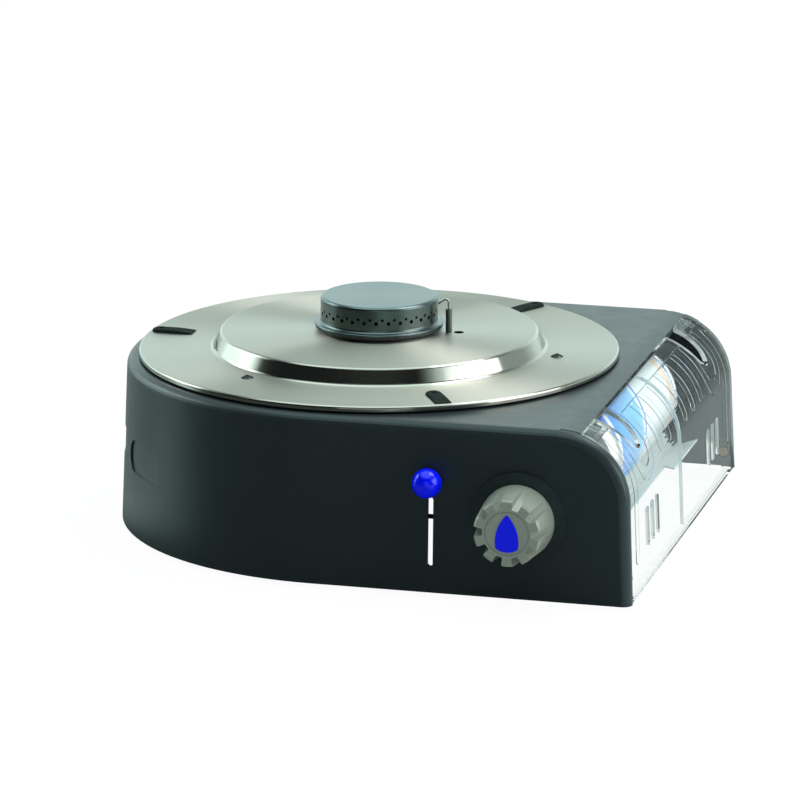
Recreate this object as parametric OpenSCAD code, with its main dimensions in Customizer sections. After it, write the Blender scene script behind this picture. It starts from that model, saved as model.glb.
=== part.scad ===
// Portable gas barbecue base: drafted D-shaped housing with a dished steel plate and burner on top,
// and a gas cartridge lying in a bay at the right-hand end under a clear hinged cover.
// Sizes are in millimetres. Inside the modules the burner axis is x = y = 0, the front faces -Y,
// and z = 0 is the housing's lower edge. place() then moves that to the part's own origin.

/* [Housing] */
// Radius of the round left-hand end at the lower edge
body_r = 161.7; // [150:0.1:175]
// Distance from the burner axis to the right-hand end at the lower edge
body_right = 197; // [190:0.5:215]
// Height of the housing
body_h = 103.5; // [98:0.5:120]
// Draft of all outer walls, in degrees
draft = 2.5; // [1:0.1:4]
// Thickness of the moulded walls
wall = 3; // [2:0.1:4]
// Thickness of the walls at the rim round the cartridge bay
rim_t = 6; // [4.5:0.1:8]
// Width of that rim
rim_w = 10; // [8:0.5:14]
// Rounding of the upper edge
edge_r = 6; // [4:0.1:8]
// Rounding of the corner over the cartridge bay
bay_corner_r = 43.5; // [36:0.5:48]
// Angle at which the roof ends and the clear cover starts, above the horizontal
roof_end_a = 73.4; // [70:0.1:78]
// Radius of the opening in the roof under the plate
roof_hole_r = 95; // [80:1:100]
// Height of the rubber feet
foot_h = 3; // [2:0.5:6]
// Radius of the rubber feet
foot_r = 7; // [5:0.5:9]
// Distance from the outer wall to the middle of a foot
foot_inset = 18.7; // [16:0.1:26]
// Angle of the left-hand feet from the X axis
foot_a = 128; // [115:1:140]
// X of the right-hand feet
foot_x = 116; // [105:1:125]

/* [Plate] */
// Radius of the steel plate
plate_r = 150; // [140:0.5:154]
// Height of the plate's flat over the housing
plate_lift = 4.6; // [3:0.1:8]
// Thickness of the plate
plate_t = 1; // [0.8:0.1:1.5]
// Depth of the turned-down rim
plate_rim_h = 3.2; // [2.5:0.1:4.5]
// Radius of the raised middle at its top edge
crown_r = 99; // [92:0.1:100]
// Radius of the raised middle at its foot
crown_foot_r = 104.2; // [103:0.1:107]
// Height of the raised middle
crown_h = 10.6; // [7:0.1:12]
// Distance of the plate screws from the burner axis
plate_screw_at = 114; // [113:0.5:118]
// Length of the rubber pads
pad_l = 27; // [20:0.5:30]
// Width of the rubber pads
pad_w = 10; // [8:0.5:14]
// Height of the rubber pads
pad_h = 1.8; // [1.6:0.1:4]
// Distance of the middle of a pad from the burner axis
pad_at = 134.5; // [130:0.5:135.5]

/* [Burner] */
// Radius of the burner cap
cap_r = 36.5; // [32:0.5:37]
// Height of the burner cap with its rolled rim
cap_h = 17.9; // [14:0.1:24]
// Radius of the rolled rim
cap_rim_r = 40.4; // [39:0.1:41]
// Wall of the cap
cap_t = 1.5; // [1:0.1:2]
// Height of the dark neck between plate and cap
neck_h = 3.7; // [3:0.1:8]
// Number of ports in each of the two rows
port_n = 30; // [18:1:36]
// Radius of the lower ports
port_r = 1.2; // [0.8:0.1:1.5]
// Radius of the upper ports
port_small_r = 0.9; // [0.5:0.1:1.2]
// Outer radius of the mixing tube
tube_r = 9; // [8:0.1:11]
// Height of the mixing tube's axis
tube_z = 66; // [60:0.5:72]
// Direction of the mixing tube from the burner axis
tube_a = -45; // [-48:0.5:-43]
// Distance of the ignition electrode from the burner axis
spark_at = 44.3; // [43:0.1:46]
// Direction of the ignition electrode
spark_a = 3; // [0:1:40]
// Radius of the electrode's ceramic
ceramic_r = 2; // [1.5:0.1:2.5]
// Height of the ceramic over the plate
ceramic_h = 14.8; // [10:0.1:18]

/* [Controls] */
// X of the gas knob
knob_x = 128; // [124:0.5:130]
// Height of the gas knob's axis
knob_z = 48.5; // [46:0.5:52]
// Radius of the knob at its foot
knob_r = 22.5; // [19:0.1:25]
// Radius of the knob's front face
knob_face_r = 20.5; // [18:0.1:23]
// Depth of the knob
knob_l = 27.8; // [22:0.1:34]
// Number of teeth round the knob
knob_n = 10; // [8:1:14]
// Radius of the raised seat behind the knob
seat_r = 29; // [27:0.5:32]
// Radius of the valve spindle
spindle_r = 4; // [3:0.1:5]
// X of the lever
lever_x = 74; // [70:0.5:80]
// Width of the lever slot
slot_w = 3.5; // [3.5:0.1:5]
// Lower end of the lever slot
slot_z0 = 16; // [12:0.5:17]
// Upper end of the lever slot
slot_z1 = 67; // [66:0.5:74]
// Radius of the lever rod and of the shaft that it turns on
rod_r = 1.45; // [1.2:0.05:1.6]
// Height of the lever shaft
shaft_z = 35; // [32:0.5:36]
// Distance of the lever shaft behind the outer wall at the lower edge
shaft_in = 41.7; // [38:0.1:46]
// Radius of the lever ball
ball_r = 9; // [7:0.1:9.2]
// Distance of the ball in front of the lever shaft
ball_out = 48.5; // [48:0.5:56]
// Height of the ball over the lever shaft
ball_up = 34.7; // [33:0.1:36]
// Length of the crank on the lever shaft
crank_l = 6; // [5:0.1:7]
// Swing of the lever, in degrees
lever_swing = 57; // [40:1:57]

/* [Cartridge] */
// Radius of the gas cartridge
can_r = 33.5; // [31:0.1:34]
// Length of the gas cartridge from base to collar
can_l = 186; // [170:1:188]
// X of the cartridge's axis
can_x = 136; // [135:0.5:139]
// Height of the cartridge's axis
can_z = 59; // [57:0.5:61]
// Y of the cartridge's base
can_back = 99; // [90:1:110]
// Radius of the collar
collar_r = 20.5; // [18:0.1:22]
// Thickness of the collar
collar_t = 3.6; // [3:0.1:5]
// Radius of the cartridge's outlet stem
stem_r = 3; // [2:0.1:4]
// Length of the outlet stem
stem_l = 8; // [7:0.1:10]
// Sheet thickness of tray and heat shield
sheet_t = 1; // [0.8:0.1:1.5]
// X of the heat shield
shield_x = 100; // [98.5:0.1:101]
// X of the tray's right-hand edge
tray_right = 180.6; // [176:0.2:182]

/* [Clear cover] */
// Thickness of the cover
cover_t = 2.5; // [2:0.1:3]
// Gap round the cover
cover_gap = 0.5; // [0.4:0.1:1]
// Height of the ribs on the cover
rib_h = 0.5; // [0.3:0.1:1]
// Width of the ribs
rib_w = 8.5; // [6:0.5:10]
// Distance between the ribs
rib_pitch = 24; // [20:0.5:26]
// Y of the finger notches
notch_y = 102; // [98:0.5:104]
// Width of a finger notch
notch_w = 24; // [18:0.5:25]
// Depth of a finger notch below the cover's edge
notch_d = 20; // [14:0.5:22]
// Width of the vent slots
vent_w = 5; // [3:0.5:6]
// Distance between the vent slots
vent_pitch = 14; // [10:0.5:16]
// Lower end of the vent slots
vent_z0 = 22.5; // [20:0.5:26]
// Upper end of the vent slots
vent_z1 = 47; // [40:0.5:52]
// Height of the hinge axis
hinge_z = 13; // [11:0.5:16]
// Distance of the hinge axis from the right-hand end
hinge_in = 7; // [6.5:0.1:8]
// Radius of the hinge pins
pin_r = 2; // [1.5:0.1:2.5]

/* [Hidden] */
$fn = 96;

// Clearances: pieces that only lie together, running fits, and pieces that pass each other
seat_gap = 0.02;
run_gap = 0.05;
free_gap = 0.3;

td = tan(draft);
edge_steps = 6;
corner_steps = 18;

// Heights of plate and burner
plate_z = body_h + plate_lift;
crown_z = plate_z + crown_h;
crown_bend_r = 2.5;
crown_foot_bend_r = 3;
cap_z0 = crown_z + neck_h;
cap_z1 = cap_z0 + cap_h;

// Middle of the large corner over the bay, and where the flat roof ends
corner_z = body_h - bay_corner_r;
corner_x = body_right - corner_z * td - bay_corner_r / cos(draft);
roof_end_x = corner_x + bay_corner_r * cos(roof_end_a);

// Walls: Y of the outer front wall at a height, and the inner face of a wall of a thickness
function wall_y(z) = body_r - z * td;
function inner_y(z, t) = wall_y(z) - t / cos(draft);

// Thumb scoops on the round end
scoop_z0 = 40;
scoop_z1 = 60;
scoop_d = 0.9;
scoop_end_d = 0.08;

// Plate fixings and pads
plate_screw_angles = [0, 120, 240];
pad_angles = [60, 180, 300];
pad_turns = [0, 0, 180];
plate_screw_r = 2;
plate_screw_head_r = 4.1;
plate_screw_head_h = 1.6;
plate_screw_dome_r = (pow(plate_screw_head_r, 2) + pow(plate_screw_head_h, 2)) / (2 * plate_screw_head_h);
plate_screw_l = 15;
screw_socket_r = 1.2;
screw_socket_d = 1;
spacer_r = 5;
roof_boss_h = 8.5;
pad_plug_r = 2;
pad_plug_l = 3;
pad_dimple_r = 2.1;
pad_dimple_d = 1.2;
pad_dimple_x = 7.5;
pad_tip_h = 0.6;
pad_ramp_x = -2;
pad_ramp = (pad_h - pad_tip_h) / (pad_l / 2 + pad_ramp_x);

// Burner neck, its nut, and the tube below
cap_lip_h = 1.8;
cap_rim_h = 1.6;
neck_out_r = 21;
neck_in_r = 19;
port_z = 0.45 * cap_h;
port_row_gap = 2.2;
stalk_r = 16;
stalk_bore_r = 12;
stalk_z0 = tube_z - 14;
nut_h = 3;
nut_r = 24;
tube_t = 1.5;
tube_start = stalk_r - 2;
tube_end = 140;
bell_r = tube_r + 3;
bell_l = 12;
jet_r = 6;
jet_l = 13;
jet_nose_l = 5;
socket_r = tube_r + 3;
gas_port_start = tube_end + jet_nose_l - 2 + jet_l;
gas_port_end = can_x / cos(tube_a) - 20;

// Ignition
ceramic_below = 12;
ceramic_collar = 1.4;
spark_x = spark_at * cos(spark_a);
spark_y = spark_at * sin(spark_a);
wire_r = 0.7;
wire_bend_r = 1.8;
wire_bend_a = 125;
wire_rise = 4.1;
wire_gap = 1.2;
wire_run = (spark_at + wire_bend_r * (cos(wire_bend_a) - 1) - cap_r - wire_gap) / sin(wire_bend_a);
lead_r = 1.2;
lead_end_r = 1.1 * lead_r;

// Feet
foot_boss_r = foot_r + 1;
foot_boss_h = 16;
foot_plug_r = 3;
foot_plug_l = 9;
foot_places = [
  for (s = [-1, 1]) [foot_x, s * (body_r - foot_inset)],
  for (s = [-1, 1]) (body_r - foot_inset) * [cos(foot_a), s * sin(foot_a)]
];

// Knob, its seat and the valve behind it
seat_face_y = -(wall_y(knob_z - seat_r) + 0.4);
knob_y = seat_face_y - 0.5;
knob_front_y = knob_y - knob_l;
pointer_t = 1.2;
pointer_proud = 0.3;
notch_floor_r = 14.9;
notch_foot_z = 3.5;
notch_floor_w = 4;
notch_flare = 0.22;
knob_groove_r = 13.2;
knob_groove_w = 0.5;
valve_front_y = -(body_r - 14.7);
valve_r = 19;
flange_t = 3;
spindle_boss_r = 8;
spindle_boss_l = 30;
spindle_l = 24;
valve_screw_r = 1.6;
valve_bosses = [[can_x - 42, can_z + 21], [can_x + 15, can_z - 25]];
valve_boss_r = 5;
piezo_r = 6;
piezo_l = 32;
piezo_tip_l = 6;
piezo_x = can_x - 42;
piezo_z = can_z + 5;
lead_start = [piezo_x, valve_front_y + piezo_l, piezo_z];
lead_route = [
  lead_start, lead_start + [-4, 3, 20], [75, -60, 88], [50, -10, 94],
  [spark_x, spark_y, 97], [spark_x, spark_y, crown_z - plate_t - ceramic_below]
];

// Lever
shaft_y = -(body_r - shaft_in);
shaft_ears = [lever_x - 20, lever_x + 11];
ear_t = 3;
crank_x = can_x - 30;
crank_t = 3;
crank_a = lever_swing / 2;
crank_pin_r = 1.5;
crank_pin_l = 4.5;
lock_travel = 2 * crank_l * sin(crank_a);

// Cartridge and what locks it
collar_y = can_back - can_l;
neck_r = 17;
can_rim = 0.2;
can_t = 1;
neck_l = 10;
dome_l = 12;
chime_l = 4;
valve_back_y = collar_y - lock_travel - 0.8;
slide_t = 2;
slide_half_w = 25;
slide_z0 = can_z - 29;
fork_x = crank_x + crank_t / 2 + 1;
fork_z0 = shaft_z + 3;
fork_z1 = shaft_z + 12;

// Tray and shield
tray_z = can_z - can_r - can_rim - free_gap;
rail_fit_r = can_r + can_rim + free_gap;
tray_y0 = collar_y + neck_l + dome_l + 3;
tray_y1 = can_back + 9;
tray_bend_x = can_x + 29;
tray_lip_a = 21;
tray_flange_h = 20;
rail_x = 20;
tray_cut_y = can_back - 65;
tray_cut_l = 19;
tray_cut_w = 9.5;
shield_y0 = -80;
shield_y1 = 130;
shield_z0 = 6;
tab_y = [-60, 60];
tab_l = 30;
tab_w = 14;
rivet_y = [-30, 60];
rivet_r = 1.5;

// Cover
hinge_x = body_right - hinge_in;
knuckle_r = 5;
knuckle_l = 7.5;
cover_end_x = roof_end_x + cover_gap;
cover_end_z = corner_z + sqrt(pow(bay_corner_r, 2) - pow(cover_end_x - corner_x, 2));
cover_z0 = 1;
vent_y = [for (s = [-1, 1], k = [-1, 0, 1]) s * (vent_pitch * k + 91.5)];
rib_tip_z = corner_z + 9;
rib_top_z = corner_z + 37;
end_rib_y = 138.5;
end_rib_z0 = 20;
tab_pad_y = [117, 151];
tab_pad_z = corner_z + 37.6;
grip_pad_half = 88;
grip_bar_y = [131, 136.5];
grip_bar_w = 2;

// The part's origin is the middle of its box on the ground
shift = [(body_r - body_right) / 2, -(body_r + knob_front_y - pointer_proud) / 2, foot_h];

module place() {
  translate(shift) children();
}

// Points of an arc
function arc(c, r, a0, a1, n) =
  [for (i = [0 : n]) let (a = a0 + (a1 - a0) * i / n) [c[0] + r * cos(a), c[1] + r * sin(a)]];

// Drafted side of an outline with a rounded upper corner, from z0 up
function side(reach, top, r, n, z0 = 0) =
  let (zc = top - r, xc = reach - zc * td - r / cos(draft))
  concat([[reach - z0 * td, z0]], arc([xc, zc], r, draft, 90, n));

function mirrored(pts) = [for (i = [len(pts) - 1 : -1 : 0]) [-pts[i][0], pts[i][1]]];

function reversed(pts) = [for (i = [len(pts) - 1 : -1 : 0]) pts[i]];

// A bent sheet: an open path with rounded bends, thickened to one side
function unit(v) = v / norm(v);

function bend(p0, p1, p2, r, n) =
  let (
    a = unit(p0 - p1),
    b = unit(p2 - p1),
    half = acos(a * b) / 2,
    c = p1 + unit(a + b) * (r / sin(half)),
    s = p1 + a * (r / tan(half)) - c,
    e = p1 + b * (r / tan(half)) - c,
    a0 = atan2(s[1], s[0]),
    turn = atan2(s[0] * e[1] - s[1] * e[0], s * e)
  )
  arc(c, r, a0, a0 + turn, n);

function bent(pts, r, n = 5) =
  concat(
    [pts[0]],
    [for (i = [1 : len(pts) - 2]) each bend(pts[i - 1], pts[i], pts[i + 1], r[i - 1], n)],
    [pts[len(pts) - 1]]
  );

function heading(p, i) =
  let (last = len(p) - 1)
  i == 0 ? unit(p[1] - p[0])
  : i == last ? unit(p[last] - p[last - 1])
  : unit(unit(p[i] - p[i - 1]) + unit(p[i + 1] - p[i]));

function sheet(path, t) =
  concat(
    path,
    [for (i = [len(path) - 1 : -1 : 0]) let (h = heading(path, i)) path[i] + t * [h[1], -h[0]]]
  );

// Flat shapes pushed along an axis: the flat x and y become the other two axes in order
module along_x(x0, x1) {
  translate([x0, 0, 0]) rotate([90, 0, 90]) linear_extrude(x1 - x0) children();
}

module along_y(y0, y1) {
  translate([0, y1, 0]) rotate([90, 0, 0]) linear_extrude(y1 - y0) children();
}

// Round bar along Y
module rod_y(x, z, r, y0, y1) {
  translate([x, y1, z]) rotate([90, 0, 0]) cylinder(r = r, h = y1 - y0);
}

// Round bar along X
module rod_x(y, z, r, x0, x1) {
  translate([x0, y, z]) rotate([0, 90, 0]) cylinder(r = r, h = x1 - x0);
}

// Round bar between two points, with a ball at its start
module link(p, q, r, ball) {
  d = q - p;
  translate(p) {
    sphere(r = ball);
    rotate([0, acos(d[2] / norm(d)), atan2(d[1], d[0])]) cylinder(r = r, h = norm(d));
  }
}

// Slot with round ends, from (x, y0) to (x, y1)
module slot(x, y0, y1, w) {
  translate([x - w / 2, y0 + w / 2]) square([w, y1 - y0 - w]);
  translate([x, y0 + w / 2]) circle(d = w);
  translate([x, y1 - w / 2]) circle(d = w);
}

// What is turned round the burner axis to a direction
module toward(a, d) {
  rotate([0, 0, a]) translate([d, 0, 0]) children();
}

// Bar along the mixing tube's axis
module on_tube(d0, d1, r1, r2) {
  rotate([0, 0, tube_a]) translate([d0, 0, tube_z]) rotate([0, 90, 0])
    cylinder(r1 = r1, r2 = r2, h = d1 - d0);
}

// Trapezoid between the drafted walls, less a wall's thickness
module between_walls(t, z0, z1) {
  polygon([
    [inner_y(z0, t), z0], [inner_y(z1, t), z1],
    [-inner_y(z1, t), z1], [-inner_y(z0, t), z0]
  ]);
}

// Housing: half a drum at the left, a trough in the middle, two walls round the bay at the right
outer_side = side(body_r, body_h, edge_r, edge_steps);
inner_side = side(body_r - wall / cos(draft), body_h - wall, edge_r - wall, edge_steps);

module drum_shell() {
  rotate([0, 0, 90]) rotate_extrude(angle = 180)
    polygon(concat(outer_side, [[0, body_h], [0, body_h - wall]], reversed(inner_side)));
}

module trough_shell() {
  along_x(0, corner_x) polygon(concat(
    outer_side, mirrored(outer_side), reversed(mirrored(inner_side)), reversed(inner_side)
  ));
}

// Takes the sharp edge off the front wall's curved rim, in the plane of the drafted wall
module rim_edge_cut() {
  round_pts = arc([bay_corner_r - edge_r, edge_r], edge_r, -90, 0, edge_steps);
  first = round_pts[0] - 2 * unit(round_pts[1] - round_pts[0]);
  last = round_pts[edge_steps] + 2 * unit(round_pts[edge_steps] - round_pts[edge_steps - 1]);
  corner = [bay_corner_r + 3, -3];
  cut_pts = concat([first], [for (i = [1 : edge_steps - 1]) round_pts[i]], [last, corner]);
  translate([0, -body_r, 0]) rotate([-draft, 0, 0]) translate([corner_x, 0, corner_z]) {
    rotate([90, 0, 0]) rotate([0, 0, draft]) rotate_extrude(angle = 90 - draft)
      polygon([for (p = cut_pts) [p[0], -p[1]]]);
    rotate([0, -draft, 0]) translate([0, 0, -corner_z - 5]) linear_extrude(corner_z + 5) polygon(cut_pts);
  }
}

module bay_shell() {
  difference() {
    intersection() {
      along_y(-body_r, body_r)
        polygon(concat([[0, 0]], side(body_right, body_h, bay_corner_r, corner_steps), [[0, body_h]]));
      along_x(corner_x, body_right + 1) between_walls(0, 0, body_h);
    }
    intersection() {
      along_y(-body_r, body_r) polygon(concat(
        [[0, -1]],
        side(body_right - rim_w, body_h - wall, bay_corner_r - rim_w, corner_steps, -1),
        [[0, body_h - wall]]
      ));
      along_x(corner_x - 1, body_right) polygon(concat(inner_side, mirrored(inner_side)));
      translate([0, 0, -1]) cylinder(r = 2 * body_right, h = 2 * body_h);
    }
    along_x(roof_end_x, body_right + 1) between_walls(rim_t, -1, body_h + 1);
    rim_edge_cut();
    mirror([0, 1, 0]) rim_edge_cut();
  }
}

// Shallow thumb scoop on the round end, deepest at its closed end and running out at the other
module thumb_scoop(closed_a, open_a) {
  span = abs(open_a - closed_a);
  way = sign(open_a - closed_a);
  off = (scoop_d - scoop_end_d * cos(span)) / sin(span);
  half_l = body_r * sin(span / 2);
  scoop_w = scoop_z1 - scoop_z0;
  intersection() {
    rotate([0, 0, (closed_a + open_a) / 2]) along_x(body_r - 30, body_r + 10) {
      translate([-way * half_l, (scoop_z0 + scoop_z1) / 2]) circle(d = scoop_w);
      translate([-half_l, scoop_z0]) square([2 * half_l, scoop_w]);
    }
    difference() {
      translate([0, 0, scoop_z0 - 5]) cylinder(r = body_r + 5, h = scoop_w + 10);
      rotate([0, 0, open_a]) translate([-scoop_end_d, way * off, 0]) rotate([0, 0, 180])
        cylinder(r1 = body_r, r2 = wall_y(body_h), h = body_h);
    }
  }
}

module foot_boss(p) {
  out_a = p[0] < 0 ? atan2(p[1], p[0]) : sign(p[1]) * 90;
  translate([p[0], p[1], 0]) {
    cylinder(r = foot_boss_r, h = foot_boss_h);
    rotate([0, 0, out_a]) translate([0, -foot_boss_r / 2, 0])
      cube([foot_inset - wall / 2 - foot_boss_h * td, foot_boss_r, foot_boss_h]);
  }
}

// Moulded rib behind the front wall that carries the lever shaft
module shaft_ear(x) {
  along_x(x - ear_t / 2, x + ear_t / 2) polygon([
    [-wall_y(shaft_z - 14) + wall / 2, shaft_z - 14], [shaft_y + 5, shaft_z - 5],
    [shaft_y + 5, shaft_z + 5], [-wall_y(shaft_z + 14) + wall / 2, shaft_z + 14]
  ]);
}

// Small ledge under each end of the cover's upper edge
module catch_ledge() {
  r1 = bay_corner_r - cover_t - free_gap;
  r0 = r1 - 2.4;
  along_y(tab_pad_y[0], inner_y(corner_z, rim_t) + 1) polygon(concat(
    arc([corner_x, corner_z], r1, roof_end_a - 9, roof_end_a + 4, 4),
    arc([corner_x, corner_z], r0, roof_end_a + 4, roof_end_a - 9, 4)
  ));
}

module housing() {
  color("#2c3234") place() difference() {
    union() {
      drum_shell();
      trough_shell();
      bay_shell();
      rod_y(knob_x, knob_z, seat_r, seat_face_y, -inner_y(knob_z + seat_r, wall));
      for (p = foot_places) foot_boss(p);
      for (a = plate_screw_angles) toward(a, plate_screw_at)
        translate([0, 0, body_h - wall - roof_boss_h]) cylinder(r = spacer_r, h = roof_boss_h + wall / 2);
      for (b = valve_bosses)
        rod_y(b[0], b[1], valve_boss_r, -wall_y(b[1]) + wall / 2, valve_front_y - flange_t);
      for (x = shaft_ears) shaft_ear(x);
      catch_ledge();
      mirror([0, 1, 0]) catch_ledge();
    }
    translate([0, 0, body_h / 2]) cylinder(r = roof_hole_r, h = body_h);
    along_y(-body_r - 1, -inner_y(slot_z1, wall + 1)) slot(lever_x, slot_z0, slot_z1, slot_w);
    rod_y(knob_x, knob_z, spindle_r + 2, -body_r - 5, -inner_y(knob_z + seat_r, wall + 1));
    for (p = foot_places) translate([p[0], p[1], -1])
      cylinder(r = foot_plug_r + seat_gap, h = foot_plug_l + 1.5);
    for (a = plate_screw_angles) toward(a, plate_screw_at)
      translate([0, 0, plate_z - plate_screw_l - 1])
        cylinder(r = plate_screw_r + seat_gap, h = 2 * plate_screw_l);
    for (b = valve_bosses)
      rod_y(b[0], b[1], valve_screw_r + seat_gap, -wall_y(b[1]) + wall, valve_front_y);
    for (x = shaft_ears) rod_x(shaft_y, shaft_z, rod_r + run_gap, x - ear_t, x + ear_t);
    for (y = tab_y) translate([shield_x + tab_w / 2, y, 0])
      cylinder(r = valve_screw_r + seat_gap, h = body_h - wall + 2.2);
    for (s = [0, 1]) mirror([0, s, 0]) {
      rod_y(hinge_x, hinge_z, pin_r + seat_gap, -wall_y(hinge_z) + 2, -inner_y(hinge_z, rim_t) + 1);
      thumb_scoop(-146.5, -133);
      thumb_scoop(-158, -171.5);
    }
  }
}

module rubber_feet() {
  color("#202020") place() for (p = foot_places) translate([p[0], p[1], 0]) {
    translate([0, 0, -foot_h]) rotate_extrude()
      polygon([[0, 0], [foot_r - 0.8, 0], [foot_r, 0.8], [foot_r, foot_h], [0, foot_h]]);
    cylinder(r = foot_plug_r, h = foot_plug_l);
  }
}

// Hole for a plate screw, through plate and spacer
module plate_screw_hole() {
  translate([0, 0, body_h - 1]) cylinder(r = plate_screw_r + 0.1, h = 3 * plate_lift);
}

// Dished plate, burner and its feed
module top_plate() {
  profile = bent(
    [[stalk_r + free_gap, crown_z], [crown_r, crown_z], [crown_foot_r, plate_z],
      [plate_r, plate_z], [plate_r, plate_z - plate_rim_h]],
    [crown_bend_r, crown_foot_bend_r, 1.6]
  );
  color("#c9ccc4") place() difference() {
    rotate_extrude() polygon(sheet(profile, plate_t));
    for (a = plate_screw_angles) toward(a, plate_screw_at) plate_screw_hole();
    for (a = pad_angles) toward(a, pad_at)
      translate([0, 0, body_h]) cylinder(r = pad_plug_r + seat_gap, h = 3 * plate_lift);
    toward(spark_a, spark_at) translate([0, 0, body_h]) cylinder(r = ceramic_r + 0.1, h = 3 * crown_h);
    toward(spark_a, spark_at + 6.4) translate([0, 0, body_h]) cylinder(r = 3.2, h = 3 * crown_h);
  }
}

module plate_spacers() {
  color("#3a3a3a") place() for (a = plate_screw_angles) toward(a, plate_screw_at) difference() {
    translate([0, 0, body_h]) cylinder(r = spacer_r, h = plate_lift - plate_t);
    plate_screw_hole();
  }
}

module plate_screws() {
  color("#8d9092") place() for (a = plate_screw_angles) toward(a, plate_screw_at)
    translate([0, 0, plate_z]) difference() {
      union() {
        translate([0, 0, -plate_screw_l])
          cylinder(r = plate_screw_r, h = plate_screw_l + plate_screw_head_h / 4);
        intersection() {
          translate([0, 0, plate_screw_head_h - plate_screw_dome_r]) sphere(r = plate_screw_dome_r);
          cylinder(r = plate_screw_head_r + 1, h = plate_screw_head_h + 1);
        }
      }
      translate([0, 0, plate_screw_head_h - screw_socket_d])
        cylinder(r = screw_socket_r, h = 2 * screw_socket_d, $fn = 6);
    }
}

// Long rubber pad on a plug, round at one end and running down to the plate at the other
module pad_body() {
  r = pad_w / 2;
  end = pad_l / 2 - r;
  edge = [[r, 0], [r, pad_h - 1.2], [r - 0.4, pad_h - 0.5], [r - 1.4, pad_h]];
  difference() {
    union() {
      along_x(-pad_l / 2, end) polygon(concat(edge, mirrored(edge)));
      translate([end, 0, 0]) rotate([0, 0, -90]) rotate_extrude(angle = 180)
        polygon(concat([[0, 0]], edge, [[0, pad_h]]));
    }
    along_y(-r - 1, r + 1) polygon([
      [-pad_l / 2 - 1, pad_tip_h - pad_ramp], [pad_ramp_x, pad_h], [pad_ramp_x, pad_h + 2],
      [-pad_l / 2 - 1, pad_h + 2]
    ]);
  }
  translate([0, 0, -pad_plug_l]) cylinder(r = pad_plug_r, h = pad_plug_l + pad_h / 2);
}

module pan_pads() {
  color("#2a2c2b") place() for (i = [0 : len(pad_angles) - 1])
    toward(pad_angles[i], pad_at) rotate([0, 0, pad_turns[i]]) translate([0, 0, plate_z]) difference() {
      pad_body();
      translate([pad_dimple_x, 0, pad_h - pad_dimple_d])
        cylinder(r1 = pad_dimple_r - 1, r2 = pad_dimple_r + 1, h = 2 * pad_dimple_d);
    }
}

module burner_base() {
  lip_r = cap_rim_r - 0.6;
  spigot_r = cap_r - cap_t - run_gap;
  color("#4a4d4e") place() difference() {
    union() {
      rotate_extrude() polygon([
        [0, stalk_z0], [stalk_r, stalk_z0], [stalk_r, crown_z], [neck_out_r, crown_z],
        [neck_out_r, cap_z0 - cap_lip_h], [lip_r - 0.5, cap_z0 - cap_lip_h],
        [lip_r, cap_z0 - cap_lip_h + 0.5], [lip_r, cap_z0], [spigot_r, cap_z0], [spigot_r, cap_z0 + 4],
        [spigot_r - 2, cap_z0 + 4], [spigot_r - 2, cap_z0], [neck_in_r, cap_z0], [neck_in_r, crown_z + 1.5],
        [stalk_bore_r, crown_z + 1.5], [stalk_bore_r, stalk_z0 + 2], [0, stalk_z0 + 2]
      ]);
      on_tube(stalk_r - 3, stalk_r + 10, socket_r, socket_r);
    }
    on_tube(stalk_bore_r - 4, stalk_r + 20, tube_r + run_gap, tube_r + run_gap);
  }
}

module cap_port(r, z) {
  translate([cap_r - cap_t - 2, 0, z]) rotate([0, 90, 0]) cylinder(r = r, h = cap_t + 4, $fn = 24);
}

module burner_cap() {
  z0 = cap_z0;
  z_rim = z0 + cap_rim_h;
  in_r = cap_r - cap_t;
  color("#b9bfbd") place() difference() {
    rotate_extrude() polygon(concat(
      [[in_r, z0], [cap_rim_r - cap_rim_h / 2, z0]],
      arc([cap_rim_r - cap_rim_h / 2, z0 + cap_rim_h / 2], cap_rim_h / 2, -90, 90, 8),
      [[cap_r + 1.6, z_rim], [cap_r + 0.8, z_rim + 0.3]],
      [[cap_r + 0.3, z_rim + 0.9], [cap_r + 0.1, z_rim + 1.8]],
      arc([cap_r - 2, cap_z1 - 2], 2, 0, 90, 5),
      [[0, cap_z1], [0, cap_z1 - cap_t], [in_r - 0.6, cap_z1 - cap_t], [in_r, cap_z1 - cap_t - 0.6]]
    ));
    for (i = [0 : port_n - 1]) {
      rotate([0, 0, (i + 0.5) * 360 / port_n]) cap_port(port_r, z0 + port_z);
      rotate([0, 0, i * 360 / port_n]) cap_port(port_small_r, z0 + port_z + port_row_gap);
    }
  }
}

module burner_nut() {
  color("#a08a52") place() translate([0, 0, crown_z - plate_t - nut_h]) difference() {
    cylinder(r = nut_r, h = nut_h, $fn = 6);
    translate([0, 0, -1]) cylinder(r = stalk_r + seat_gap, h = nut_h + 2);
  }
}

module mixing_tube() {
  color("#a9adad") place() difference() {
    union() {
      on_tube(tube_start, tube_end - bell_l, tube_r, tube_r);
      on_tube(tube_end - bell_l, tube_end, tube_r, bell_r);
    }
    on_tube(tube_start - 1, tube_end - bell_l, tube_r - tube_t, tube_r - tube_t);
    on_tube(tube_end - bell_l - 0.01, tube_end + 0.5, tube_r - tube_t, bell_r - tube_t);
  }
}

module gas_jet() {
  color("#c8a24a") place() difference() {
    union() {
      rotate([0, 0, tube_a]) translate([tube_end + jet_nose_l - 2, 0, tube_z])
        rotate([0, 90, 0]) cylinder(r = jet_r, h = jet_l, $fn = 6);
      on_tube(tube_end - 2, tube_end + jet_nose_l - 2, 2, 4);
    }
    on_tube(tube_end - 3, tube_end + jet_l + jet_nose_l, 0.6, 0.6);
  }
}

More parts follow.
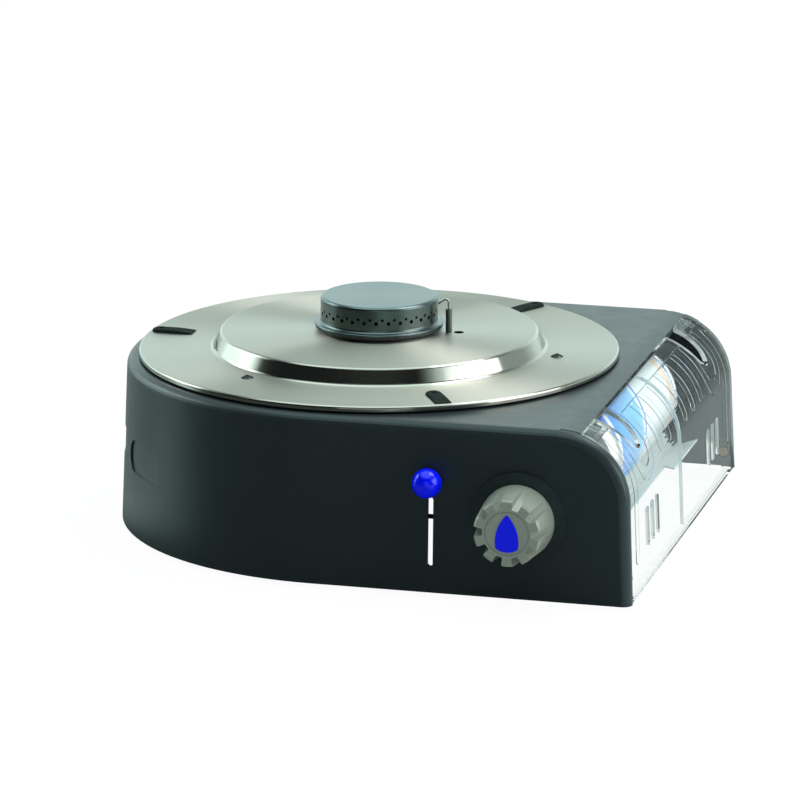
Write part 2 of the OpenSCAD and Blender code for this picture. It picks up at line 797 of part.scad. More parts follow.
// Ignition
module electrode_ceramic() {
  color("#d9d6cc") place() toward(spark_a, spark_at) {
    translate([0, 0, crown_z - plate_t - ceramic_below])
      cylinder(r = ceramic_r, h = ceramic_h + plate_t + ceramic_below);
    translate([0, 0, crown_z - plate_t - 4]) cylinder(r = ceramic_r + ceramic_collar, h = 4);
  }
}

module electrode_wire() {
  color("#9aa0a2") place() toward(spark_a, spark_at) translate([0, 0, crown_z + ceramic_h]) {
    cylinder(r = wire_r, h = wire_rise);
    translate([-wire_bend_r, 0, wire_rise]) {
      rotate([90, 0, 0]) rotate_extrude(angle = wire_bend_a) translate([wire_bend_r, 0]) circle(r = wire_r);
      rotate([0, -wire_bend_a, 0]) translate([wire_bend_r, 0, 0]) cylinder(r = wire_r, h = wire_run);
    }
  }
}

module ignition_lead() {
  color("#8a1d1d") place() for (i = [0 : len(lead_route) - 2])
    link(lead_route[i], lead_route[i + 1], lead_r, lead_end_r);
}

module piezo_igniter() {
  tip_y = valve_front_y + piezo_l - piezo_tip_l;
  color("#2f3336") place() {
    rod_y(piezo_x, piezo_z, piezo_r, valve_front_y, tip_y);
    rod_y(piezo_x, piezo_z, piezo_r - 2.5, tip_y, tip_y + piezo_tip_l - lead_end_r - seat_gap);
  }
}

// Gas valve behind the knob
module valve_flange() {
  a = valve_bosses[0];
  b = valve_bosses[1];
  along_y(valve_front_y - flange_t, valve_front_y) {
    for (p = [a, b, [piezo_x, piezo_z]]) translate(p) circle(r = piezo_r + 2);
    translate([a[0] - piezo_r - 2, piezo_z - 4]) square([can_x - a[0] + 4, a[1] - piezo_z + 4]);
    translate([can_x - 8, b[1]]) square([b[0] - can_x + 12, can_z - b[1]]);
    translate([can_x, can_z]) circle(r = valve_r);
  }
}

module valve_body() {
  color("#9a9c98") place() difference() {
    union() {
      valve_flange();
      rod_y(can_x, can_z, valve_r, valve_front_y - flange_t, valve_back_y);
      rod_y(knob_x, knob_z, spindle_boss_r, valve_front_y - flange_t - 3, valve_front_y + spindle_boss_l);
      on_tube(gas_port_start, gas_port_end, jet_r + 1.5, jet_r + 1.5);
    }
    rod_y(can_x, can_z, stem_r + free_gap, valve_back_y - stem_l - lock_travel, valve_back_y + 1);
    rod_y(knob_x, knob_z, spindle_r + run_gap, valve_front_y - 10, valve_front_y + spindle_l);
    for (b = valve_bosses)
      rod_y(b[0], b[1], valve_screw_r + 0.2, valve_front_y - 2 * flange_t, valve_front_y + 1);
  }
}

module valve_screws() {
  color("#8d9092") place() for (b = valve_bosses) {
    rod_y(b[0], b[1], valve_screw_r, -wall_y(b[1]) + wall + 1, valve_front_y);
    rod_y(b[0], b[1], 3, valve_front_y, valve_front_y + 2);
  }
}

// Sheet between burner and cartridge, hung from the roof by two tabs
module heat_shield() {
  roof_z = body_h - wall;
  color("#b4b8b6") place() difference() {
    union() {
      translate([shield_x - sheet_t, shield_y0, shield_z0])
        cube([sheet_t, shield_y1 - shield_y0, roof_z - shield_z0]);
      for (y = tab_y) translate([shield_x - sheet_t, y - tab_l / 2, roof_z - sheet_t])
        cube([tab_w, tab_l, sheet_t]);
    }
    for (y = tab_y) translate([shield_x + tab_w / 2, y, 0]) cylinder(r = valve_screw_r + 0.2, h = body_h);
    for (y = rivet_y) rod_x(y, tray_z + 0.7 * tray_flange_h, rivet_r + seat_gap, shield_x - 5, shield_x + 5);
  }
}

module shield_screws() {
  roof_z = body_h - wall;
  color("#8d9092") place() for (y = tab_y) translate([shield_x + tab_w / 2, y, 0]) {
    translate([0, 0, roof_z - sheet_t]) cylinder(r = valve_screw_r, h = sheet_t + 2);
    translate([0, 0, roof_z - sheet_t - 1.8]) cylinder(r = 3, h = 1.8);
  }
}

module cartridge_tray() {
  lip_z = tray_z + (tray_right - tray_bend_x) * tan(tray_lip_a);
  profile = bent(
    [[shield_x, tray_z + tray_flange_h], [shield_x, tray_z - sheet_t],
      [tray_bend_x, tray_z - sheet_t], [tray_right, lip_z - sheet_t]],
    [2, 6]
  );
  color("#d2d6d4") place() difference() {
    union() {
      along_y(tray_y0, tray_y1) polygon(sheet(profile, -sheet_t));
      for (s = [-1, 1]) along_y(tray_y0, tray_y1) polygon([
        [can_x + s * (rail_x + 8), tray_z - sheet_t / 2], [can_x + s * (rail_x - 3), tray_z - sheet_t / 2],
        [can_x + s * rail_x, can_z - sqrt(pow(rail_fit_r, 2) - pow(rail_x, 2))],
        [can_x + s * (rail_x + 3), can_z - sqrt(pow(rail_fit_r, 2) - pow(rail_x + 3, 2))]
      ]);
    }
    translate([0, 0, -1]) linear_extrude(body_h) polygon([
      [tray_right + 1, tray_cut_y], [tray_right - tray_cut_w, tray_cut_y + tray_cut_l],
      [tray_right - tray_cut_w, tray_y0 - 1], [tray_right + 1, tray_y0 - 1]
    ]);
    for (y = rivet_y) rod_x(y, tray_z + 0.7 * tray_flange_h, rivet_r + seat_gap, shield_x - 5, shield_x + 5);
  }
}

module tray_rivets() {
  z = tray_z + 0.7 * tray_flange_h;
  color("#8d9092") place() for (y = rivet_y) {
    rod_x(y, z, rivet_r, shield_x - sheet_t, shield_x + sheet_t);
    rod_x(y, z, 2 * rivet_r, shield_x - sheet_t - 1, shield_x - sheet_t);
    rod_x(y, z, 2 * rivet_r, shield_x + sheet_t, shield_x + sheet_t + 1);
  }
}

module hinge_pins() {
  inner = inner_y(hinge_z, rim_t) - cover_gap - knuckle_l - 1;
  color("#c29a4b") place() for (s = [0, 1]) mirror([0, s, 0]) {
    rod_y(hinge_x, hinge_z, pin_r, -wall_y(hinge_z) + 2.2, -inner);
    rod_y(hinge_x, hinge_z, pin_r + 0.6, -inner, -inner + 1.4);
  }
}

// Knob, drawn with its axis up and turned to the front
module on_knob_axis() {
  translate([knob_x, knob_y, knob_z]) rotate([90, 0, 0]) children();
}

module pointer_shape(grow) {
  lens_r = 24;
  lens_w = 14.2;
  lens_y = -5.45;
  intersection() {
    translate([lens_r - lens_w / 2, lens_y]) circle(r = lens_r + grow);
    translate([lens_w / 2 - lens_r, lens_y]) circle(r = lens_r + grow);
    translate([0, 0.3]) circle(r = 11.7 + grow);
  }
}

// Notch between two teeth: wider outwards, its floor running out toward the knob's foot
module knob_notch() {
  lean = atan((knob_r + 0.3 - notch_floor_r) / (knob_l - notch_foot_z));
  reach = 14;
  half_w = notch_floor_w / 2;
  translate([notch_floor_r, 0, knob_l]) rotate([0, -lean, 0]) translate([0, 0, -knob_l - 4])
    linear_extrude(knob_l + 8) polygon([
      [0, -half_w], [reach, -half_w - notch_flare * reach],
      [reach, half_w + notch_flare * reach], [0, half_w]
    ]);
}

module knob() {
  color("#b7b6ae") place() on_knob_axis() difference() {
    rotate_extrude() polygon([
      [0, 0], [knob_r - 0.6, 0], [knob_r, 0.6], [knob_r, 3.5], [knob_face_r, knob_l - 1.2],
      [knob_face_r - 1.2, knob_l], [0, knob_l]
    ]);
    for (i = [0 : knob_n - 1]) rotate([0, 0, 90 + (i + 0.5) * 360 / knob_n]) knob_notch();
    translate([0, 0, knob_l - knob_groove_w]) difference() {
      cylinder(r = knob_groove_r + knob_groove_w / 2, h = 2 * knob_groove_w);
      translate([0, 0, -1]) cylinder(r = knob_groove_r - knob_groove_w / 2, h = 3);
    }
    translate([0, 0, knob_l - pointer_t]) linear_extrude(pointer_t + 1) pointer_shape(seat_gap);
    translate([0, 0, -1]) cylinder(r = spindle_r + seat_gap, h = knob_l - 6);
  }
}

module knob_pointer() {
  color("#1020c8") place() on_knob_axis() translate([0, 0, knob_l - pointer_t])
    linear_extrude(pointer_t + pointer_proud) pointer_shape(0);
}

module valve_spindle() {
  color("#a9adad") place()
    rod_y(knob_x, knob_z, spindle_r, knob_front_y + 7.5, valve_front_y + spindle_l - 1);
}

// Lever: ball, rod and crank on one shaft
module lever_shaft() {
  color("#33383a") place() rod_x(shaft_y, shaft_z, rod_r, shaft_ears[0] - 4, crank_x - crank_t / 2);
}

ball_a = atan2(ball_up, ball_out);
ball_d = norm([ball_up, ball_out]);

module on_lever() {
  translate([lever_x, shaft_y, shaft_z]) rotate([-ball_a, 0, 0]) children();
}

module lever_rod() {
  color("#33383a") place() on_lever() difference() {
    union() {
      rotate([90, 0, 0]) cylinder(r = rod_r, h = ball_d - ball_r * 0.4);
      rotate([0, 90, 0]) cylinder(r = rod_r + 2, h = 5, center = true);
    }
    rotate([0, 90, 0]) cylinder(r = rod_r + seat_gap, h = 20, center = true);
  }
}

module lever_ball() {
  color("#1024d8") place() on_lever() difference() {
    translate([0, -ball_d, 0]) sphere(r = ball_r);
    rotate([90, 0, 0]) cylinder(r = rod_r + seat_gap, h = ball_d - ball_r * 0.4 + seat_gap);
  }
}

module lever_crank() {
  color("#7d8183") place() translate([crank_x - crank_t / 2, shaft_y, shaft_z]) rotate([-crank_a, 0, 0]) {
    rotate([90, 0, 90]) linear_extrude(crank_t) {
      translate([-2.2, 0]) square([4.4, crank_l]);
      circle(r = 3);
      translate([0, crank_l]) circle(r = 2.2);
    }
    translate([0, 0, crank_l]) rotate([0, 90, 0]) cylinder(r = crank_pin_r, h = crank_t + crank_pin_l);
  }
}

// Cartridge, turned round its own axis with its collar to the front
module on_can_axis() {
  translate([can_x, can_back, can_z]) rotate([90, 0, 0]) children();
}

module cartridge_can() {
  body_l = can_l - neck_l - collar_t - dome_l;
  dome_c = [can_r - dome_l, body_l];
  neck_z = body_l + dome_l + can_t;
  color("#e8ecef") place() on_can_axis() rotate_extrude() polygon(concat(
    [[0, 6], [can_r - 4, 3], [can_r - 2.5, 0], [can_r, 0], [can_r + can_rim, 1]],
    [[can_r + can_rim, chime_l - 1], [can_r - 0.4, chime_l]],
    [[can_r - 0.4, chime_l + 1], [can_r, chime_l + 2]],
    arc(dome_c, dome_l, 0, 70, 8),
    [[neck_r, neck_z], [neck_r, can_l - collar_t]],
    [[neck_r - can_t, can_l - collar_t], [neck_r - can_t, neck_z - can_t]],
    arc(dome_c, dome_l - can_t, 70, 0, 8),
    [[can_r - can_t, chime_l + 2], [can_r - 3.2, chime_l], [0, 6 + can_t]]
  ));
}

module cartridge_collar() {
  color("#c9ccc4") place() on_can_axis() translate([0, 0, can_l - collar_t]) difference() {
    rotate_extrude() polygon([
      [0, 0], [collar_r - 0.8, 0], [collar_r, 0.8],
      [collar_r, collar_t - 0.8], [collar_r - 0.8, collar_t], [0, collar_t]
    ]);
    translate([-3, collar_r - 5, -1]) cube([6, 10, collar_t + 2]);
  }
}

module cartridge_stem() {
  color("#dcdcd4") place() on_can_axis() translate([0, 0, can_l]) difference() {
    union() {
      cylinder(r = stem_r, h = stem_l);
      cylinder(r = 2 * stem_r, h = 0.5);
    }
    translate([0, 0, 2]) cylinder(r = 0.6 * stem_r, h = stem_l);
  }
}

// Fork behind the cartridge's collar, drawn forward by the crank
module lock_slide() {
  y0 = collar_y + collar_t;
  pin_y = shaft_y + crank_l * sin(crank_a);
  color("#8f9496") place() difference() {
    union() {
      along_y(y0, y0 + slide_t) translate([can_x - slide_half_w - 4, slide_z0])
        square([2 * slide_half_w + 4, can_z - slide_z0]);
      along_x(fork_x, fork_x + slide_t) translate([pin_y - 6, fork_z0])
        square([y0 + slide_t - pin_y + 6, fork_z1 - fork_z0]);
    }
    rod_y(can_x, can_z, neck_r + free_gap, y0 - 1, y0 + slide_t + 1);
    translate([fork_x - 1, pin_y - crank_pin_r - free_gap, fork_z0 - 1])
      cube([slide_t + 2, 2 * (crank_pin_r + free_gap), fork_z1 - fork_z0 - 1]);
  }
}

// Clear cover: the housing's outline carried on in thin plastic between the two walls
module cover_outline(grow) {
  polygon(concat(
    [[corner_x - 60, 0]],
    side(body_right + grow / cos(draft), body_h + grow, bay_corner_r + grow, corner_steps),
    [[corner_x - 60, body_h + grow]]
  ));
}

module cover_band(outer, inner) {
  difference() {
    cover_outline(outer);
    translate([0, -1]) cover_outline(inner);
    cover_outline(inner);
    translate([0, -1]) square([body_right + 9, cover_z0 + 1]);
    translate([0, corner_z]) square([cover_end_x, 2 * bay_corner_r]);
  }
}

module rib_shapes() {
  for (k = [0 : 5]) translate([(k - 2.5) * rib_pitch - rib_w / 2, 0]) {
    translate([0, rib_tip_z + rib_w / 2]) square([rib_w, rib_top_z - rib_tip_z - rib_w / 2]);
    translate([rib_w / 2, rib_tip_z + rib_w / 2]) circle(d = rib_w);
  }
  for (s = [-1, 1]) {
    translate([s * notch_y, rib_tip_z + 16]) notch_bead();
    slot(s * end_rib_y, end_rib_z0, rib_top_z - 1, rib_w);
    translate([s > 0 ? tab_pad_y[0] : -tab_pad_y[1], tab_pad_z]) square([tab_pad_y[1] - tab_pad_y[0], 20]);
  }
  translate([-grip_pad_half, tab_pad_z]) square([2 * grip_pad_half, 20]);
}

// Pairs of short bars on the pads at the ends of the upper edge
module grip_bars() {
  for (s = [-1, 1], y = grip_bar_y)
    translate([s * y - grip_bar_w / 2, tab_pad_z + 0.8]) square([grip_bar_w, 20]);
}

module notch_bead() {
  outer_r = notch_w / 2 + 1.75 + rib_w;
  difference() {
    union() {
      circle(r = outer_r);
      translate([-outer_r, 0]) square([2 * outer_r, rib_top_z - rib_tip_z - 16]);
    }
    circle(r = outer_r - rib_w);
    translate([rib_w - outer_r, 0]) square([2 * (outer_r - rib_w), 40]);
  }
}

module cover_cuts() {
  for (y = vent_y) slot(y, vent_z0, vent_z1, vent_w);
  for (s = [-1, 1]) translate([s * notch_y, cover_end_z]) notch_outline();
}

module notch_outline() {
  polygon(concat(
    [for (i = [0 : 16]) let (a = 180 + 180 * i / 16) [notch_w / 2 * cos(a), notch_d * sin(a)]],
    [[notch_w / 2, 10], [-notch_w / 2, 10]]
  ));
}

module clear_cover() {
  knuckle_end = inner_y(hinge_z, rim_t) - cover_gap;
  end_t = rim_t + cover_gap;
  color("#dfe9ea80") place() difference() {
    union() {
      intersection() {
        along_y(-body_r, body_r) cover_band(0, -cover_t);
        along_x(corner_x, body_right + 5) between_walls(end_t, -1, body_h + 1);
      }
      intersection() {
        along_y(-body_r, body_r) cover_band(rib_h, -cover_t / 2);
        along_x(corner_x, body_right + 5) rib_shapes();
        along_x(corner_x, body_right + 5) between_walls(end_t, -1, body_h + 1);
      }
      intersection() {
        along_y(-body_r, body_r) cover_band(2 * rib_h, -cover_t / 2);
        along_x(corner_x, body_right + 5) grip_bars();
      }
      intersection() {
        along_y(-0.6, 0.6) cover_band(-cover_t / 2, -cover_t - 2);
        translate([corner_x, -5, 6]) cube([100, 10, bay_corner_r + corner_z - 12]);
      }
      translate([hinge_x, -knuckle_end + knuckle_l, cover_z0]) cube([5, 2 * (knuckle_end - knuckle_l), 1.8]);
      for (s = [0, 1]) mirror([0, s, 0])
        rod_y(hinge_x, hinge_z, knuckle_r, -knuckle_end, -knuckle_end + knuckle_l);
    }
    along_x(corner_x, body_right + 9) cover_cuts();
    for (s = [0, 1]) mirror([0, s, 0])
      rod_y(hinge_x, hinge_z, pin_r + run_gap, -body_r, -knuckle_end + knuckle_l + 1);
  }
}

housing();
rubber_feet();
top_plate();
plate_spacers();
plate_screws();
pan_pads();
burner_base();
burner_cap();
burner_nut();
mixing_tube();
gas_jet();
electrode_ceramic();
electrode_wire();
ignition_lead();
piezo_igniter();
valve_body();
valve_screws();
heat_shield();
shield_screws();
cartridge_tray();
tray_rivets();
hinge_pins();
knob();
knob_pointer();
valve_spindle();
lever_shaft();
lever_rod();
lever_ball();
lever_crank();
cartridge_can();
cartridge_collar();
cartridge_stem();
lock_slide();
clear_cover();
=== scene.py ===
"""Looks of the portable gas barbecue base: materials, light and camera."""

import bpy
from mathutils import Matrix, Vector

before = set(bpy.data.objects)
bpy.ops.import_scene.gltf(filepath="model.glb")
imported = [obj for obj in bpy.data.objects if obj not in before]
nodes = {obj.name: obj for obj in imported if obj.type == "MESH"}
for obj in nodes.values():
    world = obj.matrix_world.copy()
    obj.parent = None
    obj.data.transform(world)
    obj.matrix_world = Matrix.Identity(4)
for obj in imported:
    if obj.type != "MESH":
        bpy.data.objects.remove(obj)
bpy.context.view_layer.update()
scene = bpy.context.scene

# Where the CAD's burner axis and lower housing edge are in the row frame, in metres
SHIFT = Vector((-0.01765, 0.0140745, 0.003))
CAN_AXIS = Vector((0.136, 0, 0.059)) + SHIFT
MM_PER_M = 1000

WHITE = (1, 1, 1, 1)

# Noise textures: steps of detail, their roughness, and the range in which most of their values lie
DETAIL_LOW, DETAIL, DETAIL_HIGH = 2, 3, 4
NOISE_ROUGHNESS = 0.55
NOISE_RANGE = (0.3, 0.7)


def at(x, y, z):
    """A point given in millimetres from the burner axis and the housing's lower edge."""
    return Vector((x, y, z)) / MM_PER_M + SHIFT


# Node helpers
def feed(tree, node, values):
    """Sets a node's inputs, and links those whose value comes from another node."""
    for key, value in values.items():
        if isinstance(value, bpy.types.NodeSocket):
            tree.links.new(value, node.inputs[key])
        else:
            node.inputs[key].default_value = value


def add(tree, kind, values=None, **settings):
    """A shader node with its settings, and its inputs set or linked."""
    node = tree.nodes.new("ShaderNode" + kind)
    for key, value in settings.items():
        setattr(node, key, value)
    feed(tree, node, values or {})
    return node


def maths(tree, operation, a, b=0.0):
    return add(tree, "Math", {0: a, 1: b}, operation=operation).outputs[0]


def product(tree, first, *others):
    for other in others:
        first = maths(tree, "MULTIPLY", first, other)
    return first


def largest(tree, first, *others):
    for other in others:
        first = maths(tree, "MAXIMUM", first, other)
    return first


def vec(tree, operation, a, b=(0, 0, 0)):
    return add(tree, "VectorMath", {0: a, 1: b}, operation=operation).outputs[0]


def span(tree, value, low, high, to_low, to_high):
    """Value carried from one range to another, held at the ends."""
    return add(tree, "MapRange", {0: value, 1: low, 2: high, 3: to_low, 4: to_high}).outputs[0]


def stripe(tree, value, low, high, edge):
    """One between two limits and nothing outside them, with soft edges."""
    up = span(tree, value, low - edge, low + edge, 0, 1)
    down = span(tree, value, high - edge, high + edge, 1, 0)
    return product(tree, up, down)


def noise(tree, where, scale, detail=DETAIL):
    values = {"Vector": where, "Scale": scale, "Detail": detail, "Roughness": NOISE_ROUGHNESS}
    return add(tree, "TexNoise", values).outputs["Fac"]


def uneven(tree, value, rough):
    """Roughness that goes from one value to another with a noise."""
    return span(tree, value, *NOISE_RANGE, *rough)


def blend(tree, factor, a, b):
    return add(tree, "Mix", {0: factor, 6: a, 7: b}, data_type="RGBA").outputs[2]


def rgb(r, g, b):
    """A colour written as it shows on screen, 0 to 255, brought to linear values."""
    def linear(v):
        v /= 255
        return v / 12.92 if v <= 0.04045 else ((v + 0.055) / 1.055) ** 2.4
    return (linear(r), linear(g), linear(b), 1)


def material(name, **constants):
    """A new material with its constants on the shader, the tree, and object coordinates."""
    m = bpy.data.materials.new(name)
    m.use_nodes = True
    tree = m.node_tree
    shader = tree.nodes["Principled BSDF"]
    feed(tree, shader, {key.replace("_", " "): value for key, value in constants.items()})
    where = add(tree, "TexCoord").outputs["Object"]
    return m, tree, shader, where


def bump(tree, shader, height, strength, distance):
    node = add(tree, "Bump", {"Height": height, "Strength": strength, "Distance": distance})
    feed(tree, shader, {"Normal": node.outputs[0]})


# Grained surfaces: how much finer the gloss varies than the tone, and how the grain stands out
GLOSS_PER_PATCH = 9
GRAIN_BUMP = 0.35


def grained(name, dark, light, rough, grain=900, grain_depth=0.00004, patch=14, **constants):
    """Moulded or painted surface: soft patches of tone, uneven gloss and a fine grain."""
    m, tree, shader, where = material(name, **constants)
    tone = noise(tree, where, patch, DETAIL_HIGH)
    gloss = noise(tree, where, patch * GLOSS_PER_PATCH)
    feed(tree, shader, {
        "Base Color": blend(tree, tone, dark, light),
        "Roughness": uneven(tree, gloss, rough),
    })
    bump(tree, shader, noise(tree, where, grain, DETAIL_LOW), GRAIN_BUMP, grain_depth)
    return m


# Plain metals: the scale of the gloss, and how the marks stand out, in metres for the depth
METAL_GLOSS_SCALE = 40
MARK_BUMP = 0.25
MARK_DEPTH = 0.00002


def metal(name, dark, light, rough, stretch=(1, 1, 1), scale=400):
    """Metal with fine marks drawn out along one axis."""
    m, tree, shader, where = material(name, Metallic=1.0)
    drawn = vec(tree, "MULTIPLY", where, stretch)
    marks = noise(tree, drawn, scale, DETAIL_HIGH)
    gloss = noise(tree, where, METAL_GLOSS_SCALE)
    feed(tree, shader, {
        "Base Color": blend(tree, marks, dark, light),
        "Roughness": uneven(tree, gloss, rough),
    })
    bump(tree, shader, marks, MARK_BUMP, MARK_DEPTH)
    return m


# Turned metals: the scale of the rings and of the broad tone, their shares, and how the rings stand out
RING_SCALE = 2600
BROAD_SCALE = 7
RING_SHARE, BROAD_SHARE = 0.6, 0.4
RING_BUMP = 0.08
RING_DEPTH = 0.00001
# The upward part of the normal where sides pass into tops (for the painted shade on sides), and slopes into
# level faces
PAINTED_SHADE_SIDE_TO_TOP = (0.3, 0.9)
SLOPE_TO_LEVEL = (0.9, 0.99)
# The outward tangent leans down a little, so that it never lies along the normal of an upright rim
TANGENT_LEAN = (0, 0, -0.35)


def turned_steel(name, dark, light, rough, aniso, sloped=1.0, side=None):
    """Metal turned round the burner axis: rings of fine lines and a highlight drawn out across them.

    Sloped faces have only the given share of the roughness, and upright sides may take a darker colour as
    painted shade.
    """
    m, tree, shader, where = material(name, Metallic=1.0, Anisotropic=aniso)
    local = vec(tree, "SUBTRACT", where, tuple(SHIFT))
    flat = vec(tree, "MULTIPLY", local, (1, 1, 0))
    radius = add(tree, "VectorMath", {0: flat}, operation="LENGTH").outputs["Value"]
    across = maths(tree, "MULTIPLY", radius, RING_SCALE)
    ring = add(tree, "TexNoise", {"W": across, "Detail": DETAIL}, noise_dimensions="1D").outputs["Fac"]
    broad = noise(tree, where, BROAD_SCALE, DETAIL_LOW)
    ring_part = maths(tree, "MULTIPLY", ring, RING_SHARE)
    broad_part = maths(tree, "MULTIPLY", broad, BROAD_SHARE)
    colour = blend(tree, maths(tree, "ADD", ring_part, broad_part), dark, light)

    normal = add(tree, "NewGeometry").outputs["True Normal"]
    upward = add(tree, "SeparateXYZ", {0: normal}).outputs[2]
    # Painted shade: upright sides take the darker side colour, which blends into the top colour as the normal
    # turns up
    if side:
        colour = blend(tree, span(tree, upward, *PAINTED_SHADE_SIDE_TO_TOP, 0, 1), side, colour)
    gloss = span(tree, upward, *SLOPE_TO_LEVEL, sloped, 1)
    feed(tree, shader, {
        "Base Color": colour,
        "Roughness": product(tree, uneven(tree, ring, rough), gloss),
        "Tangent": vec(tree, "ADD", vec(tree, "NORMALIZE", flat), TANGENT_LEAN),
    })
    bump(tree, shader, ring, RING_BUMP, RING_DEPTH)
    return m


# Clear plastic: the scales of tint and polish, the polish noise's range, and the roughness it gives
CLEAR_TINT_SCALE = 9
POLISH_SCALE = 60
POLISH_RANGE = (0.35, 0.65)
POLISH_ROUGH = (0.0, 0.03)


def clear_plastic(name, ior, through, dark, light):
    """Clear moulded plastic with a breath of green and slightly uneven polish."""
    m, tree, shader, where = material(name, Transmission_Weight=through, IOR=ior)
    tint = noise(tree, where, CLEAR_TINT_SCALE, DETAIL_LOW)
    polish = noise(tree, where, POLISH_SCALE)
    feed(tree, shader, {
        "Base Color": blend(tree, tint, dark, light),
        "Roughness": span(tree, polish, *POLISH_RANGE, *POLISH_ROUGH),
    })
    return m


# Print on the cartridge, in metres along it from where CAN_AXIS lies: how far a band slants per radian,
# its ripple, how soft its edges are, and where the print ends
SLANT = 0.024
RIPPLES = 3.0
RIPPLE = 0.004
PRINT_EDGE = 0.0004
WIDE_BAND = (-0.030, 0.030)
DEEP_BAND = (-0.052, -0.036)
DEEP_LINE = (0.035, 0.038)
BORDER = (0.079, 0.088)
BORDER_LINE = (0.0905, 0.092)
BARE_BACK = (0.0945, 0.0947)
BARE_FRONT = (-0.063, -0.0632)
# The print's fading, its gloss and the dents of the thin metal
FADE_SCALE = 22
PRINT_ROUGH = (0.25, 0.38)
DENT_SCALE = 300
DENT_BUMP = 0.08
DENT_DEPTH = 0.00003


def printed_can(name):
    """Gloss print on the cartridge: white with slanting blue bands, a pale border at the back, bare ends."""
    m, tree, shader, where = material(name, Coat_Weight=0.4, Coat_Roughness=0.08)
    local = vec(tree, "SUBTRACT", where, tuple(CAN_AXIS))
    x, y, z = add(tree, "SeparateXYZ", {0: local}).outputs
    angle = maths(tree, "ARCTAN2", x, z)
    slant = maths(tree, "ADD", y, maths(tree, "MULTIPLY", angle, SLANT))
    wave = maths(tree, "SINE", maths(tree, "MULTIPLY", angle, RIPPLES))
    band = maths(tree, "ADD", slant, maths(tree, "MULTIPLY", wave, RIPPLE))

    fade = noise(tree, where, FADE_SCALE)
    sky = blend(tree, span(tree, band, *WIDE_BAND, 0, 1), rgb(40, 140, 240), rgb(120, 196, 250))
    deep = blend(tree, fade, rgb(0, 96, 232), rgb(24, 126, 244))
    prints = (
        (band, WIDE_BAND, sky),
        (band, DEEP_BAND, deep),
        (band, DEEP_LINE, deep),
        (y, BORDER, rgb(238, 214, 190)),
        (y, BORDER_LINE, deep),
    )
    colour = blend(tree, fade, rgb(226, 234, 238), rgb(238, 244, 248))
    for along, limits, ink in prints:
        colour = blend(tree, stripe(tree, along, *limits, PRINT_EDGE), colour, ink)
    bare = largest(tree, span(tree, y, *BARE_BACK, 0, 1), span(tree, y, *BARE_FRONT, 0, 1))
    feed(tree, shader, {
        "Base Color": blend(tree, bare, colour, rgb(205, 207, 205)),
        "Metallic": bare,
        "Roughness": uneven(tree, fade, PRINT_ROUGH),
    })
    bump(tree, shader, noise(tree, where, DENT_SCALE, DETAIL_LOW), DENT_BUMP, DENT_DEPTH)
    return m


# Each look with its darker and lighter colour and its range of roughness
LOOKS = {
    "housing": grained("charcoal_moulding", rgb(35, 41, 44), rgb(38, 44, 47), (0.32, 0.37),
                       grain_depth=0.000003, Specular_IOR_Level=0.45, Specular_Tint=(0.8, 1, 1, 1)),
    "rubber": grained("dark_rubber", rgb(24, 31, 28), rgb(33, 41, 37), (0.75, 0.9),
                      grain=1400, Specular_IOR_Level=0.1),
    "plate": turned_steel("turned_plate", rgb(170, 168, 159), rgb(181, 178, 169), (0.42, 0.48),
                          aniso=0.85, sloped=0.3),
    # The cap's upright sides get a darker colour: painted shade
    "cap": turned_steel("satin_cap", rgb(99, 113, 114), rgb(107, 120, 123), (0.24, 0.3),
                        aniso=0.2, side=rgb(92, 103, 100)),
    "cast": metal("dark_casting", rgb(60, 63, 64), rgb(88, 91, 92), (0.45, 0.6), scale=250),
    "brass": metal("brass", rgb(150, 116, 62), rgb(184, 150, 88), (0.3, 0.45)),
    "tube": metal("drawn_tube", rgb(160, 163, 163), rgb(190, 193, 193), (0.3, 0.42)),
    # Plate screws: steel darkened far below bare steel, as painted shade for their countersunk recesses
    "screw": metal("polished_screw", rgb(44, 48, 46), rgb(60, 64, 62), (0.1, 0.16)),
    "steel": metal("plain_steel", rgb(150, 153, 156), rgb(188, 190, 192), (0.25, 0.4)),
    "sheet": metal("galvanised_sheet", rgb(158, 168, 163), rgb(178, 187, 182), (0.36, 0.5),
                   stretch=(1, 0.2, 1), scale=120),
    "tray": grained("tray_paint", rgb(178, 186, 186), rgb(194, 201, 201), (0.4, 0.5), grain_depth=0.00001),
    "valve": metal("die_casting", rgb(140, 141, 137), rgb(172, 173, 169), (0.4, 0.55), scale=200),
    "post": metal("grey_post", rgb(100, 110, 105), rgb(124, 134, 128), (0.28, 0.4),
                  stretch=(1, 1, 0.1), scale=300),
    "lead": grained("lead_cover", rgb(120, 28, 26), rgb(146, 40, 36), (0.4, 0.5)),
    "dark": grained("dark_plastic", rgb(46, 48, 50), rgb(60, 62, 64), (0.4, 0.55)),
    "knob": grained("knob_plastic", rgb(138, 144, 133), rgb(152, 157, 145), (0.2, 0.27),
                    patch=40, Specular_IOR_Level=0.9),
    "blue": grained("blue_plastic", rgb(0, 12, 250), rgb(0, 22, 255), (0.16, 0.2),
                    grain=600, grain_depth=0.000001, patch=60, Specular_IOR_Level=0.4),
    "lever": metal("dark_lever", rgb(56, 60, 62), rgb(76, 80, 82), (0.35, 0.5)),
    "collar": metal("tinplate", rgb(190, 192, 190), rgb(216, 218, 216), (0.18, 0.3)),
    "stem": grained("white_nylon", rgb(216, 216, 208), rgb(230, 230, 222), (0.35, 0.5)),
    "can": printed_can("printed_cartridge"),
    "clear": clear_plastic("clear_cover_plastic", ior=1.06, through=1.0,
                           dark=(0.97, 0.985, 0.978, 1), light=(0.985, 0.995, 0.99, 1)),
    # Cover edges and rib sides: whitish and half clear, a painted highlight; their higher IOR bends light for
    # real
    "painted_highlight_edge": clear_plastic("cover_edges_painted_highlight", ior=1.45, through=0.5,
                                dark=(0.78, 0.85, 0.82, 1), light=(0.86, 0.92, 0.9, 1)),
}

